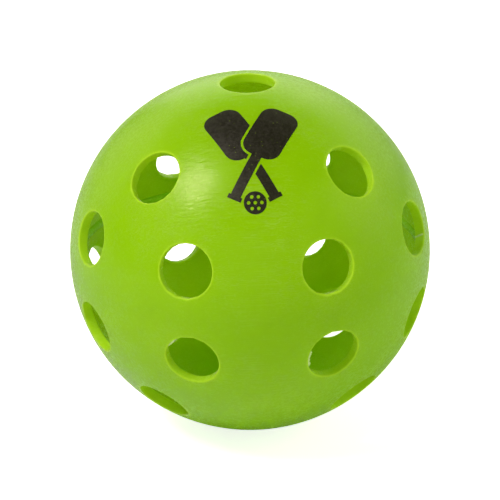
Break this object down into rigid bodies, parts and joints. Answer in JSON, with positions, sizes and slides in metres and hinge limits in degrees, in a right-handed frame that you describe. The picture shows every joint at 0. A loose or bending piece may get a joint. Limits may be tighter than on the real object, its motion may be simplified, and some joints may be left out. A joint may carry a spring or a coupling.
{
  "type": "pickleball ball",
  "caption": "Hollow lime green plastic ball with round air holes in rings, welded from two half shells, with a small printed mark.",
  "frame": {"origin": "centre of the ball", "axes": "+Z out through the polar hole of the upper half shell, the weld seam in the XY plane; -Y is the side that the printed mark is on, +X to its right"},
  "size_m": [0.074, 0.074, 0.073],
  "materials": {
    "lime_plastic": "satin",
    "black_ink": "satin"
  },
  "bodies": {
    "root": {"upper_shell": "lime_plastic", "lower_shell": "lime_plastic", "weld_bead": "lime_plastic", "printed_mark": "black_ink"}
  },
  "joints": []
}
